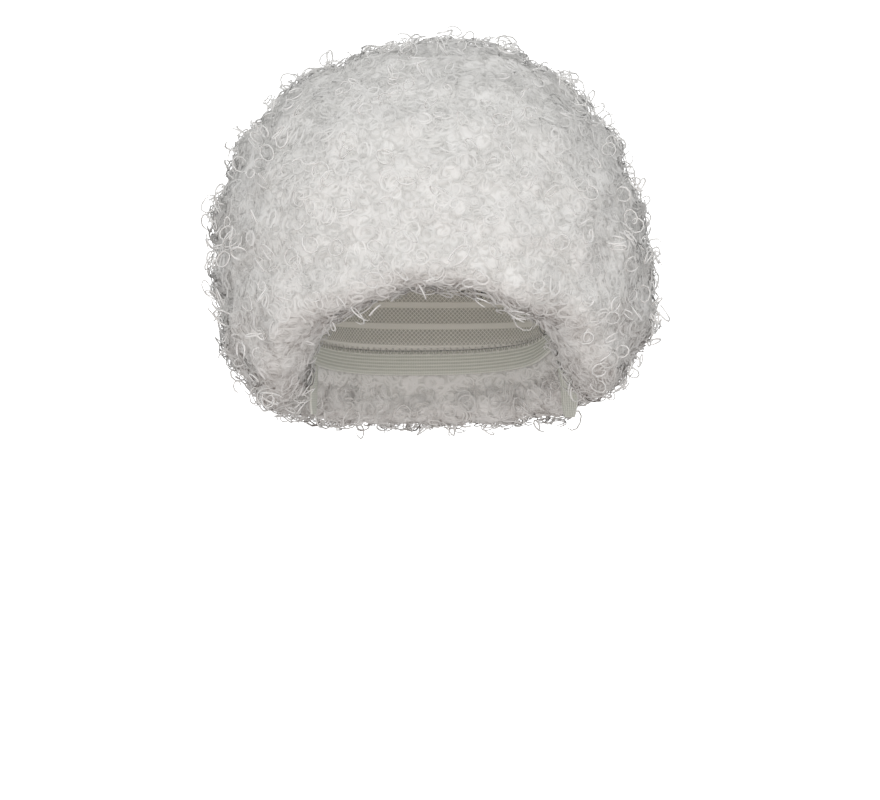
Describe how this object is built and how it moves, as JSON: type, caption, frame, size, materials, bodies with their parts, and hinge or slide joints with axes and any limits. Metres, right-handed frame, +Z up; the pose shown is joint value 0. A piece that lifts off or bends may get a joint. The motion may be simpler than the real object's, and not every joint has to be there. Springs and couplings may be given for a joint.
{
  "type": "curly clown wig",
  "caption": "Full round wig of short curly locks sewn in rows on a stretch cap, with an elastic edge band and ear tabs, open below and at the face.",
  "frame": {"origin": "where the crown of the wearer's head meets the inside of the cap", "axes": "+Z up out of the crown, the wearer faces -Y, +X towards the wearer's left, which is the right of the picture"},
  "size_m": [0.2704, 0.2891, 0.2434],
  "materials": {
    "curled_fibre": "white curled synthetic fibre",
    "stretch_net": "off-white knitted net",
    "elastic": "pale woven elastic"
  },
  "bodies": {
    "root": {"cap": "stretch_net", "edge_band": "elastic", "ear_tab_right": "elastic", "ear_tab_left": "elastic", "crown_curls": "curled_fibre", "curl_row_1": "curled_fibre", "curl_row_2": "curled_fibre", "curl_row_3": "curled_fibre", "curl_row_4": "curled_fibre", "curl_row_5": "curled_fibre", "curl_row_6": "curled_fibre"}
  },
  "joints": []
}
